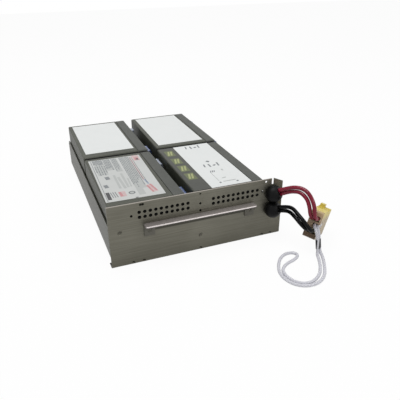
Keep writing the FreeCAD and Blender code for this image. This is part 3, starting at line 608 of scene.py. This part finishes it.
def print_on(label, ink, fields, turn=0.0):
    """Flat fields of one ink on a label, placed in millimetres from its centre.

    Each field is its centre, its two sides and, if it is askew, its own turn in degrees.
    """
    low, high = (Vector(corner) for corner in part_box(label))
    layer = high.z + list(inks).index(ink) * ink_step
    middle = Matrix.Translation(((low.x + high.x) / 2, (low.y + high.y) / 2, layer))
    turned = middle @ Matrix.Rotation(math.radians(turn), 4, "Z")
    sheet = turned @ Matrix.Scale(millimetre, 4)
    form = bmesh.new()
    for x, y, across, along, *askew in fields:
        own_turn = Matrix.Rotation(math.radians(sum(askew)), 4, "Z")
        own_size = Matrix.Diagonal((across, along, ink_thickness / millimetre, 1))
        place = sheet @ Matrix.Translation((x, y, 0)) @ own_turn @ own_size
        bmesh.ops.create_cube(form, size=1, matrix=place)
    mesh = bpy.data.meshes.new(f"{label}_{ink}_print")
    form.to_mesh(mesh)
    form.free()
    mesh.materials.append(inks[ink])
    printed = bpy.data.objects.new(mesh.name, mesh)
    bpy.context.scene.collection.objects.link(printed)
    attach(printed, "root")


def ruled_lines(x_low, x_high, y_low, y_high, pitch, weight, seed):
    """Broken lines along Y that stand for small print, each with gaps at random places."""
    start_drop, stop_share = 2, 0.35
    shortest_run, longest_run = 3, 9
    smallest_gap, largest_gap = 1.0, 1.8
    chance = random.Random(seed)
    lines = []
    x = x_low + weight / 2
    while x < x_high:
        y = y_high - chance.uniform(0, start_drop)
        stop = y_low + chance.uniform(0, stop_share) * (y_high - y_low)
        while y > stop:
            run = min(chance.uniform(shortest_run, longest_run), y - y_low)
            lines.append((x, y - run / 2, weight, run))
            y -= run + chance.uniform(smallest_gap, largest_gap)
        x += pitch
    return lines


# The front left battery's label is a little askew and the only one with much print.  Each
# column of small print has its lowest and highest x and y, and its lines' pitch and weight.
front_left_turn = -1.1
print_columns = (
    (-31, -17.5, 46, 65, 1.5, 1.1), (-31, -17.5, 11, 45, 3.1, 1.3),
    (-16.5, -6.5, 25, 65, 1.9, 1.1), (-5.5, 2.5, 19, 65, 1.9, 0.9),
    (5.5, 13.4, -59, 65, 2.0, 1.0), (13.8, 19.5, -42, 65, 2.0, 1.0),
)
grey_lines = []
for seed, column in enumerate(print_columns, start=1):
    grey_lines += ruled_lines(*column, seed)
grey_squares = [(-27.5, -23, 5, 9, 8), (-21.5, 1, 5.5, 9, 6)]
grey_stripes = [(x, -49, 1.1, 15, 4) for x in (-25.5, -22.8, -20.1)]
ring_radius = 3.4
ring_weight = 1.5
ring_place = (-1.6, -50)
ring_steps = 24
ring_overlap = 1.2
ring = [
    (
        ring_place[0] + ring_radius * math.cos(math.tau * step / ring_steps),
        ring_place[1] + ring_radius * math.sin(math.tau * step / ring_steps),
        ring_weight, math.tau * ring_radius / ring_steps * ring_overlap,
        360 * step / ring_steps,
    )
    for step in range(ring_steps)
]
edge_rule = [(-33, -1, 0.7, 128)]
front_left_print = {
    "grey": grey_lines + ring + grey_squares + grey_stripes + edge_rule,
    "pale": [
        (-12, -13, 3, 42), (-7, -18, 3.4, 36, 3), (-2, -12, 3, 44), (2.2, -20, 2, 26, -2),
        (-24, 55, 13, 21), (-24, 28, 13, 32), (-11.5, 45, 10, 40), (-1.5, 41, 8, 48),
        (9.5, 3, 8, 124), (16.5, 11, 6, 106), (-1.6, -50, 5, 5),
    ],
    "dark": [
        (-29.7, -50.5, 4.4, 20), (20.6, 22, 0.6, 80), (23.0, 16, 0.5, 90),
        (1.0, -64.6, 3.2, 1.8), (29.6, 51, 3.0, 5),
    ],
    "rose": [(28.6, 56, 9, 19), (-13, -50, 8, 14), (24.2, -46, 8, 22, 8), (20.9, 20, 1.8, 80)],
    "red": [
        (28.8, 53, 5.5, 9), (21.8, -47, 2.2, 20, 8), (26.2, -44, 2.2, 20, 10),
        (-15, -50, 3.2, 12, 6),
    ],
    "blue": [(22.6, -25.5, 2.2, 15, 6)],
}
for ink, fields in front_left_print.items():
    print_on("label_front_left", ink, fields, front_left_turn)

# A few plain bars and dots, in two like groups, on the front right battery's white label.
bar_group = [
    (-10, 0, 2.0, 9, -8), (-3, -1, 2.2, 10), (3.6, -2, 4.5, 3.2, 30), (9.4, 0, 2.2, 11, -6),
]
bar_group_places = (65, -7)
print_on(
    "label_front_right", "grey",
    [(x, y + shift, *rest) for shift in bar_group_places for x, y, *rest in bar_group]
    + [(0, 6, 4.4, 4.4, 45), (-9.5, -28, 1.4, 6, -18), (-7, -28, 1.4, 6, -18),
       (-4.6, -28, 1.4, 5, -18), (-11, -63, 2.4, 3.6), (11, -66, 3.4, 2.6, 30)],
)
print_on(
    "label_front_right", "pale",
    [(2, -61.5, 17, 2.2), (-1, -51, 6, 2.2, 10), (-10.8, -45, 0.8, 26), (7, -27, 2.4, 5)],
)

# Olive marks in a row along the band, each two slanting bars on a moss-green field.
band_places = (52.5, 22.5, -4.5, -31.5)
band_bars, band_slant = (-1.6, 2.4), -14
print_on("label_band_front_right", "moss", [(0.2, y, 12.5, 21) for y in band_places])
print_on(
    "label_band_front_right", "olive",
    [(x, y, 2.6, 15, band_slant) for y in band_places for x in band_bars],
)


# --- Foam -----------------------------------------------------------------------------------
# Black closed-cell foam, cut from sheet, between the batteries and the steel, and strips of
# foam tape under the batteries.

# Cut foam: black and quite matt, with cells 1.2 mm wide.
foam, foam_tree, foam_shader = new_material(
    "closed_cell_foam", roughness=0.9, specular_ior_level=0.1
)
foam_cells = surface_pattern(
    foam_tree, cell=1.2, kind="ShaderNodeTexVoronoi", output="Distance"
)
foam_colour = lay_colours(foam_tree, "#0a0a0a", (foam_cells, "#161616"))
finish_surface(foam_tree, foam_shader, foam_colour, foam_cells, depth=0.2)
dress(
    ["foam_tapes", "front_pad", "rear_pad", "row_spacer_left", "row_spacer_right"], foam
)


# --- Bushings -------------------------------------------------------------------------------
# Two black nylon balls with necks that snap into the panel and lead the wires out sideways.
# They are moulded in one piece each.

# Moulded nylon: black with a soft gloss and a slightly uneven skin.
bushing_nylon = make_speckled(
    "moulded_black_nylon", "#050506", "#0d0d0e", cell=1.2, depth=0.1,
    roughness=0.45, ior=1.53, specular_ior_level=0.12,
)
dress(["lead_bushing_upper", "lead_bushing_lower"], bushing_nylon)


# --- Connector ------------------------------------------------------------------------------
# A two-pole housing moulded in pale yellow nylon, with grip ribs and square cavities, and a
# tin-plated contact in each pole.  It stands askew on the table at the end of its leads.

# Yellow nylon with painted light: yellow where the top is lit, beige in painted shade lower down,
# and painted shade at the lead end.
connector_nylon, connector_tree, connector_shader = new_material(
    "moulded_yellow_nylon", roughness=0.42, ior=1.53, specular_ior_level=0.3
)
# The housing's corner at the lead end, its axes along the length and across the poles, and
# where along them, from that corner, its painted light and shade begin and end.
connector_corner = (0.12065, -0.19375, 0.0179)
connector_length_axis = (0.7119, 0.6188, -0.3322)
connector_width_axis = (0.364, 0.0795, 0.928)
lit_yellow_start, lit_yellow_full = 0.024, 0.034
end_shade_dark, end_shade_pale = 0.008, 0.020
end_shade_reach, end_shade_strength = 0.005, 0.85


def connector_mask(axis, start, end, strength=1.0):
    """A soft mask between two distances from the housing's corner."""
    return mask_along(connector_tree, axis, start, end, connector_corner, strength)


connector_haze = surface_pattern(connector_tree, cell=8)
# Beige is the nylon in painted shade, and yellow the same nylon where its top is lit.
connector_shaded_beige = lay_colours(connector_tree, "#a08e6c", (connector_haze, "#b8a684"))
connector_lit_yellow = lay_colours(connector_tree, "#ccb648", (connector_haze, "#dccb68"))
# Painted shade at the lead end: dark brown low down, pale beige higher.
connector_end_shade = lay_colours(
    connector_tree, "#4a3020",
    (connector_mask(connector_width_axis, end_shade_dark, end_shade_pale), "#b39c84"),
)
connector_colour = lay_colours(
    connector_tree, connector_shaded_beige,
    (connector_mask(connector_width_axis, lit_yellow_start, lit_yellow_full), connector_lit_yellow),
    (connector_mask(connector_length_axis, end_shade_reach, 0.0, end_shade_strength), connector_end_shade),
)
connector_grain = surface_pattern(connector_tree, cell=1)
finish_surface(
    connector_tree, connector_shader, connector_colour, connector_grain, depth=0.05
)
dress(["connector_housing"], connector_nylon)
dress(["connector_contacts"], tin_plate)


# --- Cord fittings --------------------------------------------------------------------------
# A clear shrunk sleeve holds the cord's strands together, one a little behind the other, and
# carries a painted dark reflection at its two sides.  The knot is the cord's own.

sleeve_top = Vector((0.1331, -0.2107, 0.0192))
sleeve_foot = Vector((0.1333, -0.2133, 0.0072))
sleeve_radius = 0.0021
sleeve_wall = 0.0003
sleeve_rings = 6
strand_offset = Vector((0.00178, 0.00085, -0.00013))

sleeve_form = bmesh.new()
sleeve_axis = (sleeve_foot - sleeve_top).normalized()
sleeve_turn = Vector(upward).rotation_difference(sleeve_axis).to_matrix().to_4x4()
bmesh.ops.create_circle(
    sleeve_form, cap_ends=False, segments=32, radius=sleeve_radius,
    matrix=Matrix.Translation(sleeve_top) @ sleeve_turn,
)
# Its round end is drawn out sideways, to take both strands.
for vert in sleeve_form.verts:
    away = vert.co - sleeve_top
    vert.co += strand_offset * (1 if away.dot(strand_offset) > 0 else -1)
edges = sleeve_form.edges[:]
for step in range(sleeve_rings):
    grown = bmesh.ops.extrude_edge_only(sleeve_form, edges=edges)["geom"]
    verts = [part for part in grown if isinstance(part, bmesh.types.BMVert)]
    edges = [part for part in grown if isinstance(part, bmesh.types.BMEdge)]
    bmesh.ops.translate(
        sleeve_form, verts=verts, vec=(sleeve_foot - sleeve_top) / sleeve_rings
    )
bmesh.ops.recalc_face_normals(sleeve_form, faces=sleeve_form.faces)
bmesh.ops.solidify(sleeve_form, geom=sleeve_form.faces[:], thickness=-sleeve_wall)
for face in sleeve_form.faces:
    face.smooth = True
sleeve_mesh = bpy.data.meshes.new("cord_sleeve_tube")
sleeve_form.to_mesh(sleeve_mesh)
sleeve_form.free()
sleeve = bpy.data.objects.new("cord_sleeve_tube", sleeve_mesh)
bpy.context.scene.collection.objects.link(sleeve)
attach(sleeve, "root")
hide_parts("cord_sleeve")

# Clear vinyl, smooth and glossy but not see-through: a pale strip 2.4 mm wide, soft at its two
# sides, is the cord painted as if seen through it, and the rest is a painted dark reflection.
sleeve_vinyl, sleeve_tree, sleeve_shader = new_material(
    "clear_shrink_sleeve", roughness=0.2, ior=1.45, specular_ior_level=0.3
)
sleeve_middle = (sleeve_top + sleeve_foot) / 2
sleeve_across = (0.839, -0.545, 0.0)
sleeve_dark_reflection_edges = ((-0.0013, -0.0019), (0.0005, 0.0011))
sleeve_colour = "#d2d2d6"
# Each side of the pale middle turns into a painted dark reflection.
for clear, dark in sleeve_dark_reflection_edges:
    side = mask_along(sleeve_tree, sleeve_across, clear, dark, sleeve_middle)
    sleeve_colour = lay_colours(sleeve_tree, sleeve_colour, (side, "#161618"))
finish_surface(sleeve_tree, sleeve_shader, sleeve_colour)
sleeve_mesh.materials.append(sleeve_vinyl)
dress(["cord_knot"], braided_nylon)


# --- View -----------------------------------------------------------------------------------
# Colours are shown with the Standard view transform.

bpy.context.scene.view_settings.view_transform = "Standard"
